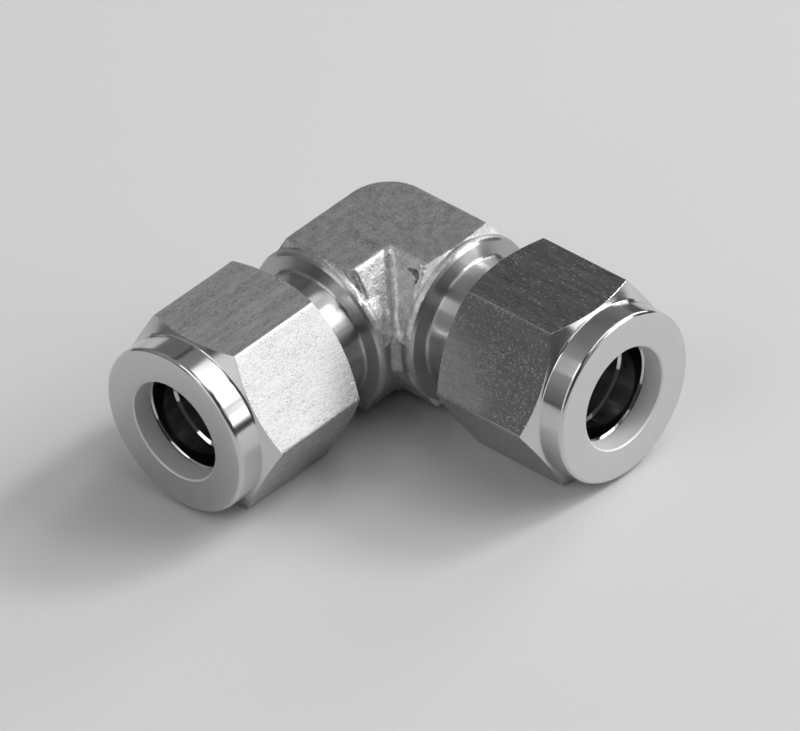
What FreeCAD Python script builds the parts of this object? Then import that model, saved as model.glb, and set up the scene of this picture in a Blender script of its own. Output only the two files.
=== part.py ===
"""Right-angle union for tube: a forged elbow with a nut and two ferrules on each leg.

Sizes are in millimetres. The legs leave the crossing of their axes along +X and +Y,
and +Z is up. Every profile is drawn as (distance from the crossing, radius).
"""
import FreeCAD
import Part
import math
import os

Vec = FreeCAD.Vector

# Tube and flow passage
tube_dia = 12.7
tube_gap = 0.07
flow_dia = 10.4
drill_point_deg = 118.0

# Lengths along a leg
nut_face_at = 36.67
tube_land = 2.72
socket_floor_at = 13.8

# Forged block
pad_size = 20.64
pad_width = 10.6
side_width = 20.4
band_height = 4.4
block_edge_radius = 0.7
rib = 0.55
block_end = 11.55
boss_start = 9.6
boss_draft = 0.2

# Turned collar and relief behind the thread
collar_dia = 20.4
collar_end = 12.42
collar_chamfer = 0.38
collar_face_rise = 0.55
relief_dia = 16.4
relief_radius = 0.35
shoulder_slope_deg = 14.0

# Thread, drawn plain at its pitch diameter
thread_dia = 19.05
thread_pitch = 1.27
thread_gap = 0.06
thread_start = 16.6
thread_chamfer = 0.7
body_end_at = 29.0

# Seat in the body mouth and the ferrules
seat_deg = 20.0
seat_mouth_dia = 15.6
ferrule_gap = 0.06
ferrule_dia = 15.9
front_nose_wall = 0.22
front_rim = 0.5
ferrule_step = 0.4
back_length = 3.58
back_nose_wall = 0.3
back_nose_length = 1.3
back_nose_rise = 0.55
back_inner_edge = 0.38
rear_face_dia = 14.04
rear_slope_deg = 45.0

# Nut
hex_flats = 22.225
hex_chamfer_deg = 30.0
nut_length = 18.67
nose_dia = 21.56
nose_length = 3.5
nose_edge = 0.25
back_face_dia = 21.8
bore_dia = 12.88
bore_edge = 0.12
chamber_gap = 0.2
entry_chamfer = 0.75
thread_runout = 1.0

# Everything below follows from the sizes above
tube_bore = tube_dia / 2 + tube_gap
flow_radius = flow_dia / 2
pitch_radius = (thread_dia - 0.6495 * thread_pitch) / 2
male_radius = pitch_radius - thread_gap / 2
female_radius = pitch_radius + thread_gap / 2
ferrule_radius = ferrule_dia / 2
land_at = nut_face_at - tube_land
nut_back_at = nut_face_at - nut_length
seat_slope = math.tan(math.radians(seat_deg))


def roundedWire(points, plane):
    """Closed outline through (u, v, corner radius) points, with true arcs at the corners."""
    corners = []
    count = len(points)
    for i in range(count):
        here = Vec(points[i][0], points[i][1], 0)
        radius = points[i][2]
        before = Vec(points[i - 1][0], points[i - 1][1], 0) - here
        after = Vec(points[(i + 1) % count][0], points[(i + 1) % count][1], 0) - here
        if radius == 0:
            corners.append((here, None, here))
            continue
        half = before.getAngle(after) / 2
        before.normalize()
        after.normalize()
        reach = radius / math.tan(half)
        middle = before + after
        middle.normalize()
        top = here + middle * (radius / math.sin(half) - radius)
        corners.append((here + before * reach, top, here + after * reach))
    edges = []
    for i in range(count):
        start, top, end = corners[i]
        if top is not None:
            edges.append(Part.Arc(plane(start), plane(top), plane(end)).toShape())
        follow = corners[(i + 1) % count][0]
        edges.append(Part.makeLine(plane(end), plane(follow)))
    return Part.Wire(edges)


def alongLeg(point):
    return Vec(point.x, 0, point.y)


def acrossLeg(point):
    return Vec(0, point.x, point.y)


def turned(points):
    """Solid of revolution about the X axis from (distance, radius, corner radius) points."""
    face = Part.Face(roundedWire(points, alongLeg))
    return face.revolve(Vec(0, 0, 0), Vec(1, 0, 0), 360)


def otherLeg(shape):
    copy = shape.copy()
    copy.rotate(Vec(0, 0, 0), Vec(0, 0, 1), 90)
    return copy


# Forged block: one eight-sided section runs along both legs and is swept round the outer corner
half_pad = pad_width / 2
half_side = side_width / 2
half_band = band_height / 2
half_height = pad_size / 2
section = [
    (half_side, -half_band, block_edge_radius),
    (half_side, half_band, block_edge_radius),
    (half_pad, half_height, block_edge_radius),
    (-half_pad, half_height, block_edge_radius),
    (-half_side, half_band, block_edge_radius),
    (-half_side, -half_band, block_edge_radius),
    (-half_pad, -half_height, block_edge_radius),
    (half_pad, -half_height, block_edge_radius),
]
leg_block = Part.Face(roundedWire(section, acrossLeg)).extrude(Vec(block_end + 1, 0, 0))

# The lathe leaves a shallow cone where it meets the block's corners
corner_radius = math.hypot(half_pad, half_height) + 1
shoulder = [
    (-0.5, 0, 0),
    (block_end + 2, 0, 0),
    (block_end + 2, collar_dia / 2 - 0.5, 0),
    (block_end, collar_dia / 2 - 0.5, 0),
    (block_end, collar_dia / 2, 0),
    (block_end - (corner_radius - collar_dia / 2) * math.tan(math.radians(shoulder_slope_deg)), corner_radius, 0),
    (-0.5, corner_radius, 0),
]
leg_block = leg_block.common(turned(shoulder))

half_section = [
    (0, -half_height, 0),
    (half_pad, -half_height, block_edge_radius),
    (half_side, -half_band, block_edge_radius),
    (half_side, half_band, block_edge_radius),
    (half_pad, half_height, block_edge_radius),
    (0, half_height, 0),
]
outer_corner = Part.Face(roundedWire(half_section, alongLeg)).revolve(Vec(0, 0, 0), Vec(0, 0, 1), 90)
outer_corner.rotate(Vec(0, 0, 0), Vec(0, 0, 1), 180)

# Rib in the inner corner: where the two legs, each grown by the rib, overlap
rib_section = [
    (0, -half_height, 0),
    (half_pad + rib, -half_height, block_edge_radius),
    (half_side + rib, -half_band, block_edge_radius),
    (half_side + rib, half_band, block_edge_radius),
    (half_pad + rib, half_height, block_edge_radius),
    (0, half_height, 0),
]
rib_along_x = Part.Face(roundedWire(rib_section, acrossLeg)).extrude(Vec(half_side + 2 * rib, 0, 0))
rib_along_y = Part.Face(roundedWire(rib_section, alongLeg)).extrude(Vec(0, half_side + 2 * rib, 0))
corner_rib = rib_along_x.common(rib_along_y)

# Turned leg: boss, collar, relief and thread
collar_radius = collar_dia / 2
relief_at = collar_end + collar_chamfer / 2 + collar_face_rise
turned_leg = turned([
    (boss_start, 0, 0),
    (boss_start, collar_radius - boss_draft, 0),
    (block_end, collar_radius, 0),
    (collar_end, collar_radius, 0),
    (collar_end + collar_chamfer / 2, collar_radius - collar_chamfer, 0),
    (relief_at, relief_dia / 2, relief_radius),
    (thread_start, relief_dia / 2, 0),
    (thread_start + male_radius - relief_dia / 2, male_radius, 0),
    (body_end_at - thread_chamfer, male_radius, 0),
    (body_end_at, male_radius - thread_chamfer, 0),
    (body_end_at, 0, 0),
])

# Passage: drilled flow bore, tube socket and tapered seat, from the mouth inwards
seat_mouth = seat_mouth_dia / 2
seat_start = body_end_at - (seat_mouth - tube_bore) / seat_slope
drill_point = flow_radius / math.tan(math.radians(drill_point_deg / 2))
passage = turned([
    (-flow_radius * 0.75 - drill_point, 0, 0),
    (-flow_radius * 0.75, flow_radius, 0),
    (socket_floor_at, flow_radius, 0),
    (socket_floor_at, tube_bore, 0),
    (seat_start, tube_bore, 0),
    (body_end_at + 1, seat_mouth + seat_slope, 0),
    (body_end_at + 1, 0, 0),
])

elbow = leg_block.fuse([otherLeg(leg_block), outer_corner, corner_rib, turned_leg, otherLeg(turned_leg)])
elbow = elbow.cut([passage, otherLeg(passage)]).removeSplitter()

# Back ferrule: bored ring with a nose towards the block and a sloping rear face
back_rear = land_at - ferrule_gap
back_tip = back_rear - back_length
back_step = back_tip + back_nose_length
back_tip_radius = tube_bore + back_nose_wall
rear_face_radius = rear_face_dia / 2
rear_run = (ferrule_radius - rear_face_radius) / math.tan(math.radians(rear_slope_deg))
back_ferrule = turned([
    (back_tip, tube_bore, 0),
    (back_tip, back_tip_radius, 0),
    (back_step, back_tip_radius + back_nose_rise, 0),
    (back_step, ferrule_radius, 0.1),
    (back_rear - rear_run, ferrule_radius, 0.15),
    (back_rear, rear_face_radius, 0.1),
    (back_rear, tube_bore + back_inner_edge, 0),
    (back_rear - back_inner_edge, tube_bore, 0),
])

# Front ferrule: its nose lies in the body's seat and its recess takes the back ferrule's nose
seat_offset = ferrule_gap / math.cos(math.radians(seat_deg))
front_tip = seat_start + (front_nose_wall + seat_offset) / seat_slope
front_full = seat_start + (ferrule_radius - tube_bore + seat_offset) / seat_slope
front_rear = back_step - ferrule_step
recess_rim = ferrule_radius - front_rim
recess_slope = (back_tip_radius + 1.3 * ferrule_gap - recess_rim) / (back_tip - front_rear)
recess_floor = front_rear - (recess_rim - tube_bore) / recess_slope
front_ferrule = turned([
    (front_tip, tube_bore, 0),
    (front_tip, tube_bore + front_nose_wall, 0.1),
    (front_full, ferrule_radius, 0.4),
    (front_rear, ferrule_radius, 0.15),
    (front_rear, recess_rim, 0),
    (recess_floor, tube_bore, 0),
])

# Nut: hexagon with both ends chamfered, a turned nose, thread, ferrule chamber and tube bore
hex_corner = hex_flats / math.sqrt(3)
hex_slope = math.tan(math.radians(hex_chamfer_deg))
nose_radius = nose_dia / 2
back_face_radius = back_face_dia / 2
nose_start = nut_face_at - nose_length
over_corner = hex_corner + 0.5
hexagon = []
for i in range(6):
    angle = math.radians(60 * i)
    hexagon.append((hex_corner * math.cos(angle), hex_corner * math.sin(angle), 0))
hex_bar = Part.Face(roundedWire(hexagon, acrossLeg)).extrude(Vec(nut_length, 0, 0))
hex_bar.translate(Vec(nut_back_at, 0, 0))
nut_outside = turned([
    (nut_back_at, 0, 0),
    (nut_back_at, back_face_radius, 0),
    (nut_back_at + (over_corner - back_face_radius) * hex_slope, over_corner, 0),
    (nose_start - (over_corner - nose_radius) * hex_slope, over_corner, 0),
    (nose_start, nose_radius, 0),
    (nut_face_at, nose_radius, nose_edge),
    (nut_face_at, 0, 0),
])
bore_radius = bore_dia / 2
chamber_radius = ferrule_radius + chamber_gap
thread_stop = body_end_at + thread_runout
nut_inside = turned([
    (nut_back_at - 1, 0, 0),
    (nut_back_at - 1, female_radius + entry_chamfer + 1, 0),
    (nut_back_at + entry_chamfer, female_radius, 0),
    (thread_stop, female_radius, 0),
    (thread_stop + (female_radius - chamber_radius) / 2, chamber_radius, 0),
    (land_at - (chamber_radius - rear_face_radius) / math.tan(math.radians(rear_slope_deg)), chamber_radius, 0),
    (land_at, rear_face_radius, 0),
    (land_at, bore_radius, 0),
    (nut_face_at - bore_edge, bore_radius, 0),
    (nut_face_at + 1, bore_radius + 1 + bore_edge, 0),
    (nut_face_at + 1, 0, 0),
])
nut = hex_bar.common(nut_outside).cut(nut_inside).removeSplitter()

# The part stands on the nuts' lower flats, with the middle of its outline at the origin
centre = (nut_face_at - max(half_side, hex_corner)) / 2
to_row = Vec(-centre, -centre, hex_flats / 2)
nodes = {
    "elbow_body": elbow,
    "nut_x": nut,
    "nut_y": otherLeg(nut),
    "front_ferrule_x": front_ferrule,
    "front_ferrule_y": otherLeg(front_ferrule),
    "back_ferrule_x": back_ferrule,
    "back_ferrule_y": otherLeg(back_ferrule),
}
os.makedirs("parts", exist_ok=True)
for name, shape in nodes.items():
    shape.translate(to_row)
    shape.exportStep("parts/" + name + ".step")
    print(name, "valid" if shape.isValid() else "INVALID", round(shape.Volume, 2), "mm3", len(shape.Solids), "solid")
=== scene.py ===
import math

import bmesh
import bpy
from mathutils import Matrix, Vector, noise
from mathutils.bvhtree import BVHTree
from mathutils.kdtree import KDTree


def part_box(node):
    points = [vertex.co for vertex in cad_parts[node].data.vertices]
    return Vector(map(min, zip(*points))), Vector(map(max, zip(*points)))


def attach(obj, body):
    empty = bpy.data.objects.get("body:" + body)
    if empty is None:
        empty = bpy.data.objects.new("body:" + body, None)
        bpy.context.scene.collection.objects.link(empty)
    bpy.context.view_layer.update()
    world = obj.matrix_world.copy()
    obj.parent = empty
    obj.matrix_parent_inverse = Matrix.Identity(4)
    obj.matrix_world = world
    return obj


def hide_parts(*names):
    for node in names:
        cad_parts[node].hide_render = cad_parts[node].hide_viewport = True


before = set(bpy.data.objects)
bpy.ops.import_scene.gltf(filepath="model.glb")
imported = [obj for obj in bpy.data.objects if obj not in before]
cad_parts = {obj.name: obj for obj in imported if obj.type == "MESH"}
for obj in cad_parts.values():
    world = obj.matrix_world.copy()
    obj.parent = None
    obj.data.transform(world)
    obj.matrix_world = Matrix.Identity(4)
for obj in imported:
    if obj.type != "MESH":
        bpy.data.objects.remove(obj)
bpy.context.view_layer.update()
print("frame loaded")

# Pieces are drawn in millimetres along +X from the crossing of the two legs, then put on their leg
nutLow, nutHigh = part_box("nut_x")
otherLow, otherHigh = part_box("nut_y")
crossing = Vector((
    (otherLow.x + otherHigh.x) / 2,
    (nutLow.y + nutHigh.y) / 2,
    (nutLow.z + nutHigh.z) / 2,
))
legTurn = {"x": 0.0, "y": math.pi / 2}
millimetre = 0.001
samePlace = 1e-5  # mm


def onLeg(leg):
    turn = Matrix.Rotation(legTurn[leg], 4, "Z")
    return Matrix.Translation(crossing) @ turn @ Matrix.Scale(millimetre, 4)


def smooth(low, high, value):
    # 0 up to low, 1 from high, and an eased rise between them
    t = min(1.0, max(0.0, (value - low) / (high - low)))
    return t * t * (3 - 2 * t)


# Mesh helpers

def asObject(bm, name):
    bmesh.ops.remove_doubles(bm, verts=bm.verts, dist=samePlace)
    bmesh.ops.recalc_face_normals(bm, faces=bm.faces)
    mesh = bpy.data.meshes.new(name)
    bm.to_mesh(mesh)
    bm.free()
    piece = bpy.data.objects.new(name, mesh)
    bpy.context.scene.collection.objects.link(piece)
    return piece


def mergeSlivers(bm, size):
    # Takes out edges under this size in mm, so that no face is a sliver
    bmesh.ops.remove_doubles(bm, verts=bm.verts, dist=size)
    bmesh.ops.dissolve_degenerate(bm, edges=bm.edges, dist=size)
    bmesh.ops.triangulate(bm, faces=[face for face in bm.faces if len(face.verts) > 4])


def applyModifiers(piece):
    graph = bpy.context.evaluated_depsgraph_get()
    mesh = bpy.data.meshes.new_from_object(piece.evaluated_get(graph))
    piece.modifiers.clear()
    piece.data = mesh
    mesh.name = piece.name


def spunFrom(profile, steps):
    # Each place of the profile is its distance along the leg, its radius and its rounded corner's size
    cornerSteps = 5
    bm = bmesh.new()
    verts = [bm.verts.new((x, 0, r)) for x, r, corner in profile]
    for start, end in zip(verts, verts[1:] + verts[:1]):
        bm.edges.new((start, end))
    for vert, (x, r, corner) in zip(verts, profile):
        if corner:
            bmesh.ops.bevel(
                bm, geom=[vert], offset=corner, offset_type="OFFSET", affect="VERTICES",
                segments=cornerSteps, profile=0.5, material=-1,
            )
    bmesh.ops.spin(
        bm, geom=bm.verts[:] + bm.edges[:], cent=(0, 0, 0), axis=(1, 0, 0),
        angle=2 * math.pi, steps=steps, use_merge=True,
    )
    return bm


def boolean(piece, other, operation):
    cut = piece.modifiers.new(operation.lower(), "BOOLEAN")
    cut.operation = operation
    cut.solver = "EXACT"
    cut.object = other
    applyModifiers(piece)
    bpy.data.objects.remove(other)


def sweepThread(thread, heightAt):
    # One ridge along a right-hand helix, its foot buried in the wall; heightAt fades it out at its ends
    bm = bmesh.new()
    foot = 0.1
    base, crest, halfCrest = thread["base"], thread["crest"], thread["crestWidth"] / 2
    buried = base - math.copysign(foot, crest - base)
    half = halfCrest + abs(crest - base) * math.tan(math.radians(thread["flankDegrees"]))
    outline = [
        (-half, buried), (-half, base), (-halfCrest, crest),
        (halfCrest, crest), (half, base), (half, buried),
    ]
    first = [bm.verts.new((thread["from"] + x, 0, r)) for x, r in outline]
    ring = [bm.edges.new(pair) for pair in zip(first, first[1:] + first[:1])]
    turns = (thread["to"] - thread["from"]) / thread["pitch"]
    steps = round(turns * thread["stepsPerTurn"])
    bmesh.ops.spin(
        bm, geom=first + ring, cent=(0, 0, 0), axis=(1, 0, 0),
        dvec=(thread["pitch"] / thread["stepsPerTurn"], 0, 0),
        angle=2 * math.pi * steps / thread["stepsPerTurn"], steps=steps,
    )
    bmesh.ops.holes_fill(bm, edges=[e for e in bm.edges if e.is_boundary], sides=6)
    for vert in bm.verts:
        radius = math.hypot(vert.co.y, vert.co.z)
        change = heightAt(vert.co.x, radius) / radius
        vert.co.y *= change
        vert.co.z *= change
    return bm


def addShell(bm, shell):
    # Adds a second closed shell to a mesh
    mesh = bpy.data.meshes.new("shell")
    bmesh.ops.recalc_face_normals(shell, faces=shell.faces)
    shell.to_mesh(mesh)
    shell.free()
    bm.from_mesh(mesh)
    bpy.data.meshes.remove(mesh)


def dress(piece, leg, body, node, materials, sharpDegrees=22):
    # Puts a finished piece on its leg, gives it its materials and says which part of the model it is
    piece.data.transform(onLeg(leg))
    piece.data.shade_smooth()
    piece.data.set_sharp_from_angle(angle=math.radians(sharpDegrees))
    piece.data.materials.clear()
    for material in materials:
        piece.data.materials.append(material)
    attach(piece, body)
    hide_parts(node)


# Node helpers

def addNode(tree, kind, inputs=None, **settings):
    node = tree.nodes.new(kind)
    for key, value in settings.items():
        setattr(node, key, value)
    for key, value in (inputs or {}).items():
        if isinstance(value, bpy.types.NodeSocket):
            tree.links.new(value, node.inputs[key])
        else:
            node.inputs[key].default_value = value
    return node


def maths(tree, operation, first, second):
    node = addNode(tree, "ShaderNodeMath", {0: first, 1: second}, operation=operation)
    return node.outputs[0]


def weighted(tree, first, firstShare, second, secondShare):
    return maths(tree, "ADD", maths(tree, "MULTIPLY", first, firstShare),
                 maths(tree, "MULTIPLY", second, secondShare))


def spread(tree, value, low, high, toLow=0.0, toHigh=1.0):
    return addNode(tree, "ShaderNodeMapRange", {
        "Value": value, "From Min": low, "From Max": high, "To Min": toLow, "To Max": toHigh,
    }, interpolation_type="SMOOTHSTEP").outputs["Result"]


def noiseAt(tree, vector, scale, detail=2.0, roughness=0.5):
    return addNode(tree, "ShaderNodeTexNoise", {
        "Vector": vector, "Scale": scale, "Detail": detail, "Roughness": roughness,
    }).outputs["Fac"]


def stretched(tree, vector, along):
    # Draws a pattern out along the leg; at 0.1 it is ten times as long as it is wide
    return addNode(tree, "ShaderNodeVectorMath", {0: vector, 1: (along, 1.0, 1.0)},
                   operation="MULTIPLY").outputs[0]


def maskAt(tree, name):
    return addNode(tree, "ShaderNodeAttribute", attribute_name=name).outputs["Fac"]


def newGroup(name, inputs, outputs):
    tree = bpy.data.node_groups.new(name, "ShaderNodeTree")
    for label, kind, value in inputs:
        socket = tree.interface.new_socket(name=label, in_out="INPUT", socket_type=kind)
        if value is not None:
            socket.default_value = value
    for label in outputs:
        tree.interface.new_socket(name=label, in_out="OUTPUT", socket_type="NodeSocketFloat")
    return tree, tree.nodes.new("NodeGroupInput"), tree.nodes.new("NodeGroupOutput")


def useGroup(tree, group, inputs):
    return addNode(tree, "ShaderNodeGroup", inputs, node_tree=group)


# Effects that several finishes share; all of them read millimetres along and round a leg

def latheLinesGroup():
    tree, given, result = newGroup("latheLines", [
        ("Vector", "NodeSocketVector", None), ("Lines per mm", "NodeSocketFloat", 8.0),
    ], ["Height", "Tone"])
    # The noise reads the distance along the leg and the radius alone, so that each line is a full ring
    place = addNode(tree, "ShaderNodeSeparateXYZ", {0: given.outputs["Vector"]})
    across = addNode(tree, "ShaderNodeCombineXYZ", {"X": place.outputs["Y"], "Y": place.outputs["Z"]})
    radius = addNode(tree, "ShaderNodeVectorMath", {0: across.outputs[0]}, operation="LENGTH")
    ring = addNode(tree, "ShaderNodeCombineXYZ", {
        "X": place.outputs["X"], "Y": radius.outputs["Value"],
    }).outputs[0]
    fine = noiseAt(tree, ring, given.outputs["Lines per mm"], 3.0, 0.6)
    broad = noiseAt(tree, ring, 1.6)
    patch = noiseAt(tree, given.outputs["Vector"], 0.5)
    strength = spread(tree, patch, 0.3, 0.7, 0.5, 1.0)
    tree.links.new(maths(tree, "MULTIPLY", fine, strength), result.inputs["Height"])
    tree.links.new(weighted(tree, broad, 0.5, patch, 0.5), result.inputs["Tone"])
    return tree


def drawnLinesGroup():
    tree, given, result = newGroup("drawnLines", [
        ("Vector", "NodeSocketVector", None), ("Lines per mm", "NodeSocketFloat", 5.0),
    ], ["Height", "Tone"])
    vector, perMm = given.outputs["Vector"], given.outputs["Lines per mm"]
    fine = noiseAt(tree, stretched(tree, vector, 0.03), perMm, 4.0, 0.65)
    streak = noiseAt(tree, stretched(tree, vector, 0.12), 1.3, 3.0, 0.6)
    speck = noiseAt(tree, stretched(tree, vector, 0.2), perMm, 2.0, 0.6)
    tree.links.new(fine, result.inputs["Height"])
    tree.links.new(weighted(tree, streak, 0.4, speck, 0.6), result.inputs["Tone"])
    return tree


def pitsGroup():
    tree, given, result = newGroup("pits", [
        ("Vector", "NodeSocketVector", None), ("Pits per mm", "NodeSocketFloat", 3.0),
        ("Amount", "NodeSocketFloat", 0.5),
    ], ["Height", "Mask"])
    vector = given.outputs["Vector"]
    deeper = noiseAt(tree, vector, 4.0)
    spots = noiseAt(tree, vector, given.outputs["Pits per mm"], 1.5)
    drift = noiseAt(tree, vector, 0.25, 1.0)
    # A pit starts where the noise passes an edge, which the amount lowers and a broad drift moves
    edge = maths(tree, "SUBTRACT", 0.85, maths(tree, "MULTIPLY", given.outputs["Amount"], 0.3))
    edge = maths(tree, "SUBTRACT", edge, maths(tree, "MULTIPLY", drift, 0.2))
    mask = spread(tree, spots, edge, maths(tree, "ADD", edge, 0.12))
    depth = maths(tree, "MULTIPLY", mask, maths(tree, "ADD", deeper, 0.5))
    tree.links.new(maths(tree, "MULTIPLY", depth, -1.0), result.inputs["Height"])
    tree.links.new(mask, result.inputs["Mask"])
    return tree


def grainGroup():
    tree, given, result = newGroup("grain", [
        ("Vector", "NodeSocketVector", None), ("Grains per mm", "NodeSocketFloat", 4.0),
    ], ["Height", "Tone"])
    fine = noiseAt(tree, given.outputs["Vector"], given.outputs["Grains per mm"], 4.0, 0.6)
    coarse = noiseAt(tree, given.outputs["Vector"], 0.9, 3.0, 0.55)
    tree.links.new(weighted(tree, fine, 1.0, coarse, 0.6), result.inputs["Height"])
    tree.links.new(weighted(tree, coarse, 0.35, fine, 0.65), result.inputs["Tone"])
    return tree


latheLines = latheLinesGroup()
drawnLines = drawnLinesGroup()
pits = pitsGroup()
grain = grainGroup()


def newMetal(name, finish, leg):
    # A grey metal; also gives back its tree, its shader and the place in millimetres on the leg
    material = bpy.data.materials.new(name)
    material.use_nodes = True
    tree = material.node_tree
    shader = tree.nodes["Principled BSDF"]
    shader.inputs["Metallic"].default_value = finish.get("metal", 1.0)
    shader.inputs["Base Color"].default_value = (finish["grey"],) * 3 + (1,)
    shader.inputs["Roughness"].default_value = finish["roughness"]
    if finish.get("stretch"):
        # Reflections are drawn out across the tool's lines, which run round the leg or along it
        quarterTurn = 0.25 if finish["linesRun"] == "round" else 0.0
        shader.inputs["Anisotropic"].default_value = finish["stretch"]
        shader.inputs["Anisotropic Rotation"].default_value = quarterTurn
        tangent = addNode(tree, "ShaderNodeTangent", direction_type="RADIAL", axis=leg.upper())
        tree.links.new(tangent.outputs[0], shader.inputs["Tangent"])
    coordinates = addNode(tree, "ShaderNodeTexCoord")
    place = addNode(tree, "ShaderNodeMapping", {
        "Vector": coordinates.outputs["Object"], "Location": crossing,
        "Rotation": (0, 0, legTurn[leg]), "Scale": (millimetre,) * 3,
    }, vector_type="TEXTURE").outputs[0]
    return material, tree, shader, place


def setTone(tree, shader, finish, tone, lighter=1.0, rougher=0.0):
    # The tone moves the roughness and the grey a little each way
    swing = maths(tree, "SUBTRACT", tone, 0.5)
    rough = maths(tree, "MULTIPLY", swing, finish["roughnessSwing"] * 2)
    rough = maths(tree, "ADD", rough, finish["roughness"])
    rough = maths(tree, "ADD", rough, rougher)
    grey = maths(tree, "MULTIPLY", swing, finish["greySwing"] * 2)
    grey = maths(tree, "ADD", grey, finish["grey"])
    grey = maths(tree, "MULTIPLY", grey, lighter)
    tree.links.new(rough, shader.inputs["Roughness"])
    colour = addNode(tree, "ShaderNodeCombineColor", {"Red": grey, "Green": grey, "Blue": grey})
    tree.links.new(colour.outputs[0], shader.inputs["Base Color"])


def setBump(tree, shader, height, depth=1.0):
    # The depth is in mm, for a height of 1
    bump = addNode(tree, "ShaderNodeBump", {
        "Height": height, "Strength": 1.0, "Distance": depth * millimetre,
    })
    tree.links.new(bump.outputs["Normal"], shader.inputs["Normal"])


def turnedMetal(name, finish, leg):
    material, tree, shader, place = newMetal(name, finish, leg)
    lines = useGroup(tree, latheLines, {"Vector": place, "Lines per mm": finish["linesPerMm"]})
    setTone(tree, shader, finish, lines.outputs["Tone"])
    setBump(tree, shader, lines.outputs["Height"], finish["lineDepth"])
    return material


def drawnMetal(name, finish, leg):
    material, tree, shader, place = newMetal(name, finish, leg)
    lines = useGroup(tree, drawnLines, {"Vector": place, "Lines per mm": finish["linesPerMm"]})
    holes = useGroup(tree, pits, {
        "Vector": place, "Pits per mm": finish["pitsPerMm"], "Amount": finish["pitAmount"],
    })
    setTone(tree, shader, finish, lines.outputs["Tone"],
            rougher=maths(tree, "MULTIPLY", holes.outputs["Mask"], finish["pitRoughness"]))
    setBump(tree, shader, weighted(tree, lines.outputs["Height"], finish["lineDepth"],
                                   holes.outputs["Height"], finish["pitDepth"]))
    return material


def lessBy(tree, mask, share):
    # 1, and less by the share where the mask is 1
    return maths(tree, "SUBTRACT", 1.0, maths(tree, "MULTIPLY", mask, share))


def forgedMetal(name, finish):
    # The masks are painted on the block's points, further down
    material, tree, shader, place = newMetal(name, finish, "x")
    body = useGroup(tree, grain, {"Vector": place, "Grains per mm": finish["grainsPerMm"]})
    # The turned mask is the shoulder's turned finish, held low on the X leg as painted shade
    tearShadeMask, turned = maskAt(tree, "scale"), maskAt(tree, "turned")
    # The grey is painted lighter on the inner slopes, the boss feet and the raised lips, as painted light,
    # and on the turned shoulders
    lighter = weighted(tree, turned, finish["turnedLighter"], maskAt(tree, "paintedLight"), 1.0)
    # The scale mask darkens the grey as painted shade in the tears and the shadowed pockets
    lighter = maths(tree, "MULTIPLY", maths(tree, "ADD", 1.0, lighter),
                    lessBy(tree, tearShadeMask, finish["paintedTearShade"]))
    tree.links.new(lessBy(tree, turned, finish["turnedMatt"]), shader.inputs["Metallic"])
    setTone(tree, shader, finish, body.outputs["Tone"], lighter,
            maths(tree, "MULTIPLY", turned, finish["turnedRougher"]))
    fine = maths(tree, "MULTIPLY", body.outputs["Height"], finish["grainDepth"])
    fine = maths(tree, "MULTIPLY", fine, lessBy(tree, turned, finish["turnedFiner"]))
    dents = noiseAt(tree, place, finish["hammerPerMm"])
    dents = maths(tree, "MULTIPLY", dents, finish["hammerDepth"])
    dents = maths(tree, "MULTIPLY", dents, maskAt(tree, "hammered"))
    setBump(tree, shader, maths(tree, "ADD", fine, dents))
    return material


# Camera at the photograph's angle

camera = {
    "lens": 495.857,
    "sensor": 36,
    "clip": (0.1, 20),
    "place": (0.69740730, 0.72468261, 0.78754396),
    "right": (-0.68198755, 0.72831602, -0.06669906),
    "up": (-0.48303622, -0.38007096, 0.78881054),
    "back": (0.54915298, 0.57017703, 0.61100668),
}
lens = bpy.data.cameras.new("camera")
lens.lens = camera["lens"]
lens.sensor_width = camera["sensor"]
lens.clip_start, lens.clip_end = camera["clip"]
viewer = bpy.data.objects.new("camera", lens)
bpy.context.scene.collection.objects.link(viewer)
facing = Matrix((camera["right"], camera["up"], camera["back"])).transposed()
viewer.matrix_world = Matrix.Translation(camera["place"]) @ facing.to_4x4()
bpy.context.scene.camera = viewer
print("camera set")


# Forged block: the elbow's CAD solid up to the turned collars, remeshed fine and given its forged skin

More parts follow.
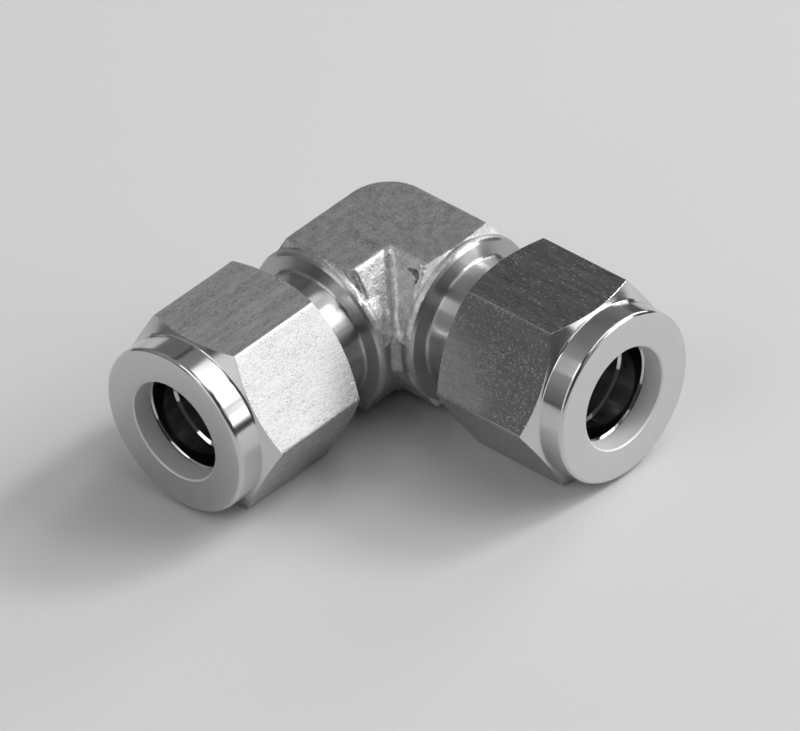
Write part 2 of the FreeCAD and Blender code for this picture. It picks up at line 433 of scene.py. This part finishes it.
block = {
    "endAt": 12.42,  # along each leg, where the turned collar begins
    "bore": 5.6,  # the skin keeps off the bores within this radius
    "voxel": 0.2,
    "sliver": 0.01,
    # The skin is softened outside the bored middle and up to the shoulder, further out beside the X leg
    "softening": {"times": 3, "bored": 7.5, "upTo": 11.05, "upToNearX": 11.7, "nearX": 8},
    # Edges that the lathe leaves sharp on the Y shoulder; the skin snaps to them within the reach
    "crisp": {"from": 11.0, "offLeg": 10.5, "fold": 0.5, "spacing": 0.03, "reach": 0.13},
    # The shoulder's turned finish is held low on the X leg, as painted shade
    "shoulder": {"at": 11.55, "radius": 10.2, "slope": 0.2493, "paintedLitShare": {"x": 0.15, "y": 1.0}},
    "lumps": {"size": 1.8, "height": 0.02},
    "ripples": {"size": 0.75, "height": 0.035},
    "flash": {"at": 2.15, "width": 0.24, "height": 0.24},  # at both edges of the trimmed band
    "slope": {"normal": (0.856, 0.517), "distance": 9.87},  # plane of each inner slope, across and up
    # Folds and tears of the forging: a path on the skin, its half width, its depth, which is
    # below 0 for a raised lip, and its painted shade, the darkness painted into the tear and into the
    # shadowed pockets by the shoulders
    "tears": [
        {"path": [(5.98, 9.00, 9.25), (5.98, 9.90, 9.20)], "width": 0.22, "depth": 0.2, "paintedShade": 0.8},
        {"path": [(5.98, 9.90, 9.20), (5.98, 10.30, 9.15), (6.15, 10.52, 8.85)],
         "width": 0.5, "depth": 0.32, "paintedShade": 0.95},
        {"path": [(6.15, 10.56, 8.85), (6.50, 10.62, 8.30)], "width": 0.3, "depth": 0.25, "paintedShade": 0.9},
        {"path": [(5.46, 10.70, 10.0), (6.12, 10.97, 8.96), (6.66, 10.84, 8.05), (7.60, 11.34, 6.5)],
         "width": 0.28, "depth": -0.13, "paintedShade": 0.0},
        {"path": [(5.50, 11.40, 9.95), (6.15, 11.62, 8.9)], "width": 0.34, "depth": 0.16, "paintedShade": 0.5},
        {"path": [(11.30, 5.30, 10.10), (11.35, 6.20, 8.70), (11.40, 7.20, 7.40)],
         "width": 0.65, "depth": 0.2, "paintedShade": 0.55},
    ],
    "tearWander": [(2.6, 0.16), (7, 0.08)],  # noise per mm, and how far it moves the path
    "wanderSeed": 2,  # without one, this noise starts from the clock
    # Painted light: how much lighter the skin is painted on the X and Y legs' inner slopes, the raised lips
    # and the foot of each boss
    "paintedLight": {"x": 0.25, "y": 0.55, "lip": 0.5, "boss": 0.4},
    "hammeredY": 0.7,  # how rough the Y leg's inner slope is beside the X leg's
    "swell": 0.14,
    "rib": {"softening": 10, "halfWidth": 1.7, "from": 5.6, "halfHeight": 9.9},
    "fineAt": [((6.15, 10.75, 9.0), 1.9), ((11.3, 6.1, 8.95), 1.3)],  # finer mesh for the tears
    # The finish darkens the tears and pockets by the scale mask, as painted shade
    "finish": {"grey": 0.45, "roughness": 0.48, "roughnessSwing": 0.1, "greySwing": 0.45,
               "grainsPerMm": 5.0, "grainDepth": 0.026, "hammerPerMm": 2.4, "hammerDepth": 0.07,
               "paintedTearShade": 0.75, "turnedLighter": 1.0, "turnedRougher": 0.1,
               "turnedMatt": 0.5, "turnedFiner": 0.5},
}


def fromCad(node):
    bm = bmesh.new()
    bm.from_mesh(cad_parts[node].data)
    bmesh.ops.remove_doubles(bm, verts=bm.verts, dist=1e-7)  # still in metres
    bmesh.ops.transform(bm, matrix=onLeg("x").inverted(), verts=bm.verts)
    return bm


def crispPoints(bm):
    # Places along the crisp edges that the lathe leaves at the shoulders
    crisp = block["crisp"]
    places = []
    for edge in bm.edges:
        start, end = (vert.co for vert in edge.verts)
        if max((start + end).xy) / 2 > crisp["from"] and edge.calc_face_angle(0) > crisp["fold"]:
            count = math.ceil((end - start).length / crisp["spacing"])
            places += [start.lerp(end, i / count) for i in range(count)]
    tree = KDTree(len(places))
    for i, place in enumerate(places):
        tree.insert(place, i)
    tree.balance()
    return tree


def offLeg(point):
    # Distance from the axis of the nearer leg
    return math.hypot(min(point.x, point.y), point.z)


def onShoulder(point):
    # How strongly the shallow cone that the lathe leaves at the end of the block shows its lighter turned
    # finish, held low on the X leg as painted shade; 0 elsewhere
    shoulder = block["shoulder"]
    outwards = offLeg(point) - shoulder["radius"]
    away = abs(max(point.x, point.y) - shoulder["at"] + outwards * shoulder["slope"])
    paintedLitShare = shoulder["paintedLitShare"]["x" if point.x > point.y else "y"]
    return paintedLitShare * (1 - smooth(0.03, 0.09, away)) * smooth(10.25, 10.4, offLeg(point))


def isForged(point):
    softening = block["softening"]
    limit = softening["upToNearX" if point.x > softening["nearX"] else "upTo"]
    return point.length > softening["bored"] and max(point.x, point.y) < limit


def soften(bm, verts, times):
    for step in range(times):
        bmesh.ops.smooth_vert(bm, verts=verts, factor=0.5,
                              use_axis_x=True, use_axis_y=True, use_axis_z=True)


def makeBlock():
    bm = fromCad("elbow_body")
    for axis in (Vector((1, 0, 0)), Vector((0, 1, 0))):
        cut = bmesh.ops.bisect_plane(
            bm, geom=bm.verts[:] + bm.edges[:] + bm.faces[:], dist=samePlace,
            plane_co=axis * block["endAt"], plane_no=axis, clear_outer=True,
        )
        rim = [e for e in cut["geom_cut"] if isinstance(e, bmesh.types.BMEdge)]
        bmesh.ops.triangle_fill(bm, use_beauty=True, edges=rim)
    crispAt = crispPoints(bm)
    piece = asObject(bm, "elbow_block")
    exact = BVHTree.FromObject(piece, bpy.context.evaluated_depsgraph_get())
    remesh = piece.modifiers.new("remesh", "REMESH")
    remesh.mode = "VOXEL"
    remesh.voxel_size = block["voxel"]
    applyModifiers(piece)
    bm = bmesh.new()
    bm.from_mesh(piece.data)
    fine = [e for e in bm.edges if any(
        all((vert.co - Vector(middle)).length < reach for vert in e.verts)
        for middle, reach in block["fineAt"])]
    bmesh.ops.subdivide_edges(bm, edges=fine, cuts=2, use_grid_fill=True)
    for vert in bm.verts:
        vert.co = exact.find_nearest(vert.co)[0]
    forged = [v for v in bm.verts if isForged(v.co)]
    soften(bm, forged, block["softening"]["times"])
    rib = block["rib"]
    ribVerts = [v for v in forged if abs(v.co.x - v.co.y) < rib["halfWidth"]
                and min(v.co.x, v.co.y) > rib["from"] and abs(v.co.z) < rib["halfHeight"]]
    soften(bm, ribVerts, rib["softening"])
    crisp = block["crisp"]
    for vert in bm.verts:
        if vert.co.y > crisp["from"] and offLeg(vert.co) > crisp["offLeg"]:
            place, index, away = crispAt.find(vert.co)
            if away < crisp["reach"]:
                vert.co = place
    mergeSlivers(bm, block["sliver"])
    bm.to_mesh(piece.data)
    bm.free()
    return piece


def onSlope(along, across, height):
    # How far a point lies on the inner slope of a leg, 0 to 1
    if across < 4.5 or along < 3:
        return 0.0
    normal, distance = block["slope"]["normal"], block["slope"]["distance"]
    away = abs(across * normal[0] + abs(height) * normal[1] - distance)
    return (1 - smooth(0.15, 0.6, away)) * smooth(2.2, 2.9, abs(height))


def onSlopes(point):
    # The same for the X leg and for the Y leg; they part at the rib
    return (onSlope(point.x, point.y, point.z) * smooth(-0.3, 0.3, point.x - point.y),
            onSlope(point.y, point.x, point.z) * smooth(-0.3, 0.3, point.y - point.x))


def hammered(point):
    # The X leg's inner slope and the foot of its boss are the roughest places of the forging
    boss = smooth(10.9, 11.4, point.x) * smooth(-0.5, 1.2, point.y) * (1 - smooth(4.3, 5.2, point.y))
    slopeX, slopeY = onSlopes(point)
    return max(slopeX, boss, block["hammeredY"] * slopeY)


def paintedLightAt(point, lip):
    # How much lighter the skin is painted, as painted light: the inner slopes, more on the Y leg's, the
    # foot of each boss, raised lips
    paintedLight = block["paintedLight"]
    slopeX, slopeY = onSlopes(point)
    boss = smooth(11.3, 11.7, max(point.x, point.y)) * smooth(3.5, 5.2, min(point.x, point.y)) \
        * smooth(5.0, 7.0, point.z)
    paintedSlopeLight = max(paintedLight["x"] * slopeX, paintedLight["y"] * slopeY, paintedLight["boss"] * boss)
    return paintedSlopeLight + paintedLight["lip"] * smooth(0.02, 0.1, lip)


def awayFromPath(point, path):
    # Distance from the nearest part of a path
    distances = []
    for start, end in zip(path, path[1:]):
        start, end = Vector(start), Vector(end)
        share = min(1.0, max(0.0, (point - start).dot(end - start) / (end - start).length_squared))
        distances.append((point - start.lerp(end, share)).length)
    return min(distances)


def tearAt(point):
    # Depth of the deepest tear here, the height of a lip, and how much painted shade it has
    if point.z < 5.5 or max(point.x, point.y) < 8:  # no tear reaches further
        return 0.0, 0.0, 0.0
    bent = point.copy()
    for perMm, reach in block["tearWander"]:
        bent += noise.noise_vector(point * perMm) * reach
    down = lip = paintedShade = 0.0
    for tear in block["tears"]:
        width = tear["width"]
        share = 1 - smooth(width * 0.4, width, awayFromPath(bent, tear["path"]))
        down = max(down, tear["depth"] * share)
        lip = max(lip, -tear["depth"] * share)
        paintedShade = max(paintedShade, tear["paintedShade"] * share)
    return down, lip, paintedShade


def offBore(point):
    # Distance from the nearer bore's axis, which starts at the crossing
    past, outside = -4, 20
    return min(math.hypot(point.y, point.z) if point.x > past else outside,
               math.hypot(point.x, point.z) if point.y > past else outside)


def skinHeight(point, down, lip):
    # Height of the forged skin in mm, faded out at the turned collars and in the bores
    end = max(point.x, point.y)
    toCollar = block["endAt"] - end
    if offBore(point) < block["bore"] or end > block["endAt"] - 0.05:
        return 0.0
    lumps, ripples, flash = block["lumps"], block["ripples"], block["flash"]
    height = lumps["height"] * noise.noise(point / lumps["size"])
    height += ripples["height"] * hammered(point) * noise.noise(point / ripples["size"] + Vector((7, 3, 1)))
    inner = smooth(7.5, 9.8, min(point.x, point.y))
    line = math.exp(-((abs(point.z) - flash["at"]) / flash["width"]) ** 2)
    height += flash["height"] * line * (0.15 + 0.85 * inner) * (0.45 + 1.1 * noise.noise(point * 1.3))
    height += lip - down
    # The boss swells a little where it leaves the block, up to the height of the flat
    away = offLeg(point)
    height += block["swell"] * smooth(9.9, 10.1, away) * (1 - smooth(10.25, 10.31, away)) \
        * smooth(11.3, 11.6, end)
    return height * smooth(0.05, 0.6, toCollar)


noise.seed_set(block["wanderSeed"])
elbowBlock = makeBlock()
masks = {"hammered": [], "scale": [], "paintedLight": [], "turned": []}
normals = [vert.normal.copy() for vert in elbowBlock.data.vertices]
for vert, normal in zip(elbowBlock.data.vertices, normals):
    place = vert.co.copy()
    down, lip, paintedShade = tearAt(place)
    masks["hammered"].append(hammered(place))
    # The scale mask is painted shade in the tears and the shadowed pockets
    masks["scale"].append(paintedShade)
    # Painted light on the inner slopes, the boss feet and the raised lips
    masks["paintedLight"].append(paintedLightAt(place, lip))
    # The turned mask is the shoulder's turned finish, held low on the X leg as painted shade
    masks["turned"].append(onShoulder(place))
    vert.co = place + normal * skinHeight(place, down, lip)
for name, values in masks.items():
    elbowBlock.data.attributes.new(name, "FLOAT", "POINT").data.foreach_set("value", values)
dress(elbowBlock, "x", "elbow", "elbow_body",
      [forgedMetal("forgedSteel", block["finish"])], sharpDegrees=45)
print("block made,", len(elbowBlock.data.polygons), "faces")


# Turned legs: collar, relief, thread, seat and socket

threadSunk = 0.05  # how far a ridge sinks into its wall past its ends

turnedLeg = {
    "steps": 240,
    "profile": [
        (12.30, 5.30, 0), (12.30, 10.00, 0), (12.42, 10.19, 0), (12.72, 9.90, 0.02),
        (13.30, 8.20, 0.38), (16.60, 8.20, 0), (17.15, 8.75, 0), (28.63, 8.75, 0),
        (29.00, 8.38, 0), (29.00, 7.80, 0), (25.21, 6.42, 0), (13.80, 6.42, 0),
        (13.80, 5.20, 0), (12.42, 5.20, 0),
    ],
    "thread": {"from": 16.67, "to": 28.4, "pitch": 1.27, "base": 8.74, "crest": 9.48,
               "crestWidth": 0.19, "flankDegrees": 30, "stepsPerTurn": 72,
               "chamfered": (16.6, 29.0), "endRadius": 8.38, "wall": 8.75},
    "finish": {"grey": 0.46, "roughness": 0.28, "roughnessSwing": 0.03, "greySwing": 0.03,
               "linesPerMm": 9.0, "lineDepth": 0.0022, "stretch": 0.97, "linesRun": "round"},
}


def maleThreadHeight(distance, radius):
    # The ridge is cut to a 45 degree chamfer at both ends of the thread
    thread = turnedLeg["thread"]
    start, end = thread["chamfered"]
    limit = min(distance - start, end - distance) + thread["endRadius"]
    return min(radius, limit if limit > thread["wall"] else limit - threadSunk)


def makeLeg(side):
    bm = spunFrom(turnedLeg["profile"], turnedLeg["steps"])
    addShell(bm, sweepThread(turnedLeg["thread"], maleThreadHeight))
    piece = asObject(bm, "elbow_leg_" + side)
    dress(piece, side, "elbow", "elbow_body",
          [turnedMetal("turnedSteel." + side, turnedLeg["finish"], side)])
    return piece


for side in "xy":
    made = makeLeg(side)
print("legs made,", len(made.data.polygons), "faces each")


# Nuts: drawn hexagon, both ends chamfered, turned nose, thread, ferrule chamber and bore

nut = {
    "flats": 22.225,
    "blank": (17, 37),  # the hexagon before it is turned
    "edge": 0.2,  # bevel between two flats
    "rim": 0.08,  # bevel between a flat and a chamfer
    "steps": 192,
    "sliver": 0.002,
    "outside": [
        (18.00, 0, 0), (18.00, 10.90, 0), (19.403, 13.33, 0), (31.698, 13.33, 0),
        (33.17, 10.78, 0.22), (36.67, 10.78, 0.55), (36.67, 0, 0),
    ],
    "inside": [
        (17.00, 0, 0), (17.00, 10.893, 0), (18.333, 9.56, 0), (30.00, 9.56, 0),
        (30.497, 8.15, 0), (32.82, 8.15, 0), (33.95, 7.02, 0), (33.95, 6.44, 0),
        (36.50, 6.44, 0), (37.67, 7.61, 0), (37.67, 0, 0),
    ],
    # The thread starts one and a half pitches after the leg's, so that its ridge lies in that groove
    "thread": {"from": 18.575, "to": 29.6, "pitch": 1.27, "base": 9.57, "crest": 8.85,
               "crestWidth": 0.22, "flankDegrees": 30, "stepsPerTurn": 72,
               "mouth": (18.0, 9.893), "runOut": (28.9, 8.85, 1.2), "wall": 9.56, "kept": 0.03},
    # Painted light: each nut's top flat has its own grey, lighter on the X nut and darker on the Y nut, and
    # the two nuts' flats differ in grey
    "flatFinishAndPaintedLight": {
        "x": {"grey": 0.47, "roughness": 0.27, "roughnessSwing": 0.06, "greySwing": 0.16,
              "stretch": 0.85, "linesRun": "along", "linesPerMm": 7.0, "lineDepth": 0.006,
              "pitsPerMm": 5.6, "pitAmount": 0.62, "pitDepth": 0.01, "pitRoughness": 0.35},
        "xTop": {"grey": 0.54, "roughness": 0.28, "roughnessSwing": 0.06, "greySwing": 0.36,
                 "stretch": 0.85, "linesRun": "along", "linesPerMm": 7.0, "lineDepth": 0.009,
                 "pitsPerMm": 5.6, "pitAmount": 0.55, "pitDepth": 0.003, "pitRoughness": 0.06},
        "y": {"grey": 0.44, "roughness": 0.2, "roughnessSwing": 0.05, "greySwing": 0.18,
              "linesPerMm": 5.0, "lineDepth": 0.003,
              "pitsPerMm": 4.0, "pitAmount": 0.58, "pitDepth": 0.007, "pitRoughness": 0.35},
        "yTop": {"grey": 0.40, "roughness": 0.2, "roughnessSwing": 0.06, "greySwing": 0.4,
                 "linesPerMm": 4.0, "lineDepth": 0.005,
                 "pitsPerMm": 4.0, "pitAmount": 0.5, "pitDepth": 0.006, "pitRoughness": 0.25},
    },
    "turnedFinish": {"grey": 0.64, "roughness": 0.16, "roughnessSwing": 0.02, "greySwing": 0.03,
                     "linesPerMm": 9.0, "lineDepth": 0.0015, "stretch": 0.8, "linesRun": "round"},
    "boreFinish": {"grey": 0.8, "roughness": 0.55, "roughnessSwing": 0.05, "greySwing": 0.04,
                   "linesPerMm": 9.0, "lineDepth": 0.004, "metal": 0.25},
    # The Y nut's end face is painted lighter than the X nut's, as painted light
    "faceFinishAndPaintedLight": {
        "x": {"grey": 0.62, "roughness": 0.3, "roughnessSwing": 0.05, "greySwing": 0.04,
              "linesPerMm": 10.0, "lineDepth": 0.002},
        "y": {"grey": 0.68, "roughness": 0.3, "roughnessSwing": 0.05, "greySwing": 0.04,
              "linesPerMm": 10.0, "lineDepth": 0.002},
    },
}


def femaleThreadHeight(distance, radius):
    # The ridge is cut by the chamfer of the mouth and runs out at its far end. Past both it keeps a
    # little of its height, so that its faces don't fold flat.
    thread = nut["thread"]
    mouthAt, mouthRadius = thread["mouth"]
    runOutAt, runOutRadius, rise = thread["runOut"]
    limit = max(mouthRadius - (distance - mouthAt), runOutRadius + (distance - runOutAt) * rise)
    if limit > thread["wall"]:
        limit += threadSunk
    return max(radius, limit + (radius - thread["crest"]) * thread["kept"])


def offAxis(place):
    return math.hypot(place.y, place.z)


def isRim(edge):
    # An edge between a flat of the hexagon and the chamfer at either end
    slopes = sorted(abs(face.normal.x) for face in edge.link_faces)
    return len(slopes) == 2 and slopes[0] < 0.1 and 0.3 < slopes[1] < 0.95 and all(
        offAxis(vert.co) > 11 for vert in edge.verts)


def finishOf(face):
    # Which finish a face has, by where it lies and how it is turned
    middle, radius = face.center, offAxis(face.center)
    if abs(face.normal.x) < 0.1 and radius > 11:
        # The top flat gets its own grey, as painted light
        return "hexTopPaintedLight" if face.normal.z > 0.9 else "hexFlats"
    if face.normal.x > 0.9 and middle.x > 36.6:
        return "facedNut"
    if radius < 6.65 and 34 < middle.x < 36.66:
        return "boredNut"
    return "turnedNut"


def makeNut(side):
    corner = nut["flats"] / math.sqrt(3)
    start, end = nut["blank"]
    bm = bmesh.new()
    bmesh.ops.create_cone(
        bm, cap_ends=True, segments=6, radius1=corner, radius2=corner, depth=end - start,
        matrix=Matrix.Translation(((start + end) / 2, 0, 0)) @ Matrix.Rotation(math.pi / 2, 4, "Y"),
    )
    longEdges = [e for e in bm.edges if abs(e.verts[0].co.x - e.verts[1].co.x) > 1]
    bmesh.ops.bevel(bm, geom=longEdges, offset=nut["edge"], offset_type="OFFSET", affect="EDGES",
                    segments=4, profile=0.5, material=-1)
    piece = asObject(bm, "nut_" + side + "_dressed")
    boolean(piece, asObject(spunFrom(nut["outside"], nut["steps"]), "outside"), "INTERSECT")
    boolean(piece, asObject(spunFrom(nut["inside"], nut["steps"]), "inside"), "DIFFERENCE")
    bm = bmesh.new()
    bm.from_mesh(piece.data)
    mergeSlivers(bm, nut["sliver"])
    rims = [e for e in bm.edges if isRim(e)]
    bmesh.ops.bevel(bm, geom=rims, offset=nut["rim"], offset_type="OFFSET", affect="EDGES",
                    segments=1, profile=0.5, material=-1, clamp_overlap=True)
    mergeSlivers(bm, nut["sliver"])
    addShell(bm, sweepThread(nut["thread"], femaleThreadHeight))
    bm.to_mesh(piece.data)
    bm.free()
    # Each nut's flats and its top flat get their own greys, as painted light
    finishes = {
        "hexFlats": drawnMetal("hexFlats." + side, nut["flatFinishAndPaintedLight"][side], side),
        "turnedNut": turnedMetal("turnedNut." + side, nut["turnedFinish"], side),
        "facedNut": turnedMetal("facedNut." + side, nut["faceFinishAndPaintedLight"][side], side),
        "boredNut": turnedMetal("boredNut." + side, nut["boreFinish"], side),
        "hexTopPaintedLight": drawnMetal("hexTopPaintedLight." + side, nut["flatFinishAndPaintedLight"][side + "Top"], side),
    }
    order = list(finishes)
    indices = [order.index(finishOf(face)) for face in piece.data.polygons]
    dress(piece, side, "nut_" + side, "nut_" + side, finishes.values())
    piece.data.polygons.foreach_set("material_index", indices)
    return piece


for side in "xy":
    made = makeNut(side)
print("nuts made,", len(made.data.polygons), "faces each")


# Ferrules, polished rings inside each nut

ferrules = {
    "steps": 180,
    "front": [
        (25.99, 6.42, 0), (25.99, 6.64, 0.06), (29.59, 7.95, 0.12), (31.21, 7.95, 0.1),
        (31.21, 7.45, 0.03), (29.79, 6.42, 0),
    ],
    "back": [
        (30.31, 6.42, 0), (30.31, 6.72, 0.05), (31.61, 7.27, 0), (31.61, 7.95, 0.1),
        (32.96, 7.95, 0.1), (33.89, 7.02, 0.06), (33.89, 6.80, 0.05), (33.51, 6.42, 0.03),
    ],
    "finish": {"grey": 0.55, "roughness": 0.08, "roughnessSwing": 0.03, "greySwing": 0.02,
               "linesPerMm": 9.0, "lineDepth": 0.0006},
}
for side in "xy":
    for kind in ("front", "back"):
        node = kind + "_ferrule_" + side
        piece = asObject(spunFrom(ferrules[kind], ferrules["steps"]), node + "_dressed")
        dress(piece, side, "ferrules_" + side, node,
              [turnedMetal("polishedSteel." + kind + "." + side, ferrules["finish"], side)])
print("ferrules made")


# Pale floor

floorLook = {"size": 3, "grey": 0.68, "roughness": 0.6, "specular": 0.2}
bm = bmesh.new()
bmesh.ops.create_grid(bm, x_segments=1, y_segments=1, size=floorLook["size"])
floor = asObject(bm, "floor")
paper = bpy.data.materials.new("paleFloor")
paper.use_nodes = True
tree = paper.node_tree
shader = tree.nodes["Principled BSDF"]
shader.inputs["Base Color"].default_value = (floorLook["grey"],) * 3 + (1,)
shader.inputs["Roughness"].default_value = floorLook["roughness"]
shader.inputs["Specular IOR Level"].default_value = floorLook["specular"]
floor.data.materials.append(paper)


# Soft studio light. Each softbox has its azimuth and elevation and its size, in degrees as the part
# sees them, and its brightness, where 1 is white.

lampDistance = 1.5
roomTone = 0.06
softboxes = {
    "key": {"from": (157.5, 39), "size": (12, 12), "white": 24.5},
    "keyRight": {"from": (128, 39), "size": (15, 14), "white": 4.4},
    "curtain": {"from": (142.5, 41), "size": (11.7, 38), "white": 3.8},
    "sill": {"from": (127.5, 18.5), "size": (14.4, 17), "white": 1.9},
    "sillEnd": {"from": (112.5, 16.5), "size": (14.4, 11), "white": 1.7},
    "window": {"from": (129, 30), "size": (34, 44), "white": 0.92},
    "left": {"from": (187.5, 27.5), "size": (13.3, 11), "white": 5.8},
    "leftLow": {"from": (187.5, 16.5), "size": (14.4, 11), "white": 2.8},
    "leftHigh": {"from": (187.5, 46), "size": (10.5, 26), "white": 2.1},
    "overhead": {"from": (120, 74), "size": (44, 20), "white": 1.8},
    "ceiling": {"from": (-90, 76), "size": (70, 26), "white": 0.2},
    "frontHigh": {"from": (-7.5, 50), "size": (29, 20), "white": 1.9},
    "front": {"from": (0, 20), "size": (28.5, 40), "white": 0.88},
    "right": {"from": (90, 31), "size": (26, 18), "white": 0.5},
    "lowLeft": {"from": (-120, 10), "size": (30, 20), "white": 0.5},
    "wall": {"from": (-85, 32), "size": (120, 56), "white": 0.11},
    "wallFront": {"from": (-55, 40), "size": (50, 44), "white": 0.13},
}
for name, box in softboxes.items():
    azimuth, elevation = (math.radians(angle) for angle in box["from"])
    lamp = bpy.data.lights.new(name, "AREA")
    lamp.shape = "RECTANGLE"
    lamp.size, lamp.size_y = (
        2 * lampDistance * math.tan(math.radians(size / 2)) for size in box["size"])
    lamp.energy = box["white"] * math.pi * lamp.size * lamp.size_y
    holder = bpy.data.objects.new(name, lamp)
    holder.location = lampDistance * Vector((
        math.cos(azimuth) * math.cos(elevation),
        math.sin(azimuth) * math.cos(elevation),
        math.sin(elevation),
    ))
    holder.rotation_euler = (-holder.location).to_track_quat("-Z", "Y").to_euler()
    bpy.context.scene.collection.objects.link(holder)

world = bpy.data.worlds.new("room")
bpy.context.scene.world = world
world.use_nodes = True
world.node_tree.nodes["Background"].inputs["Color"].default_value = (roomTone,) * 3 + (1,)
bpy.context.scene.view_settings.view_transform = "Standard"
print("stage and light set")
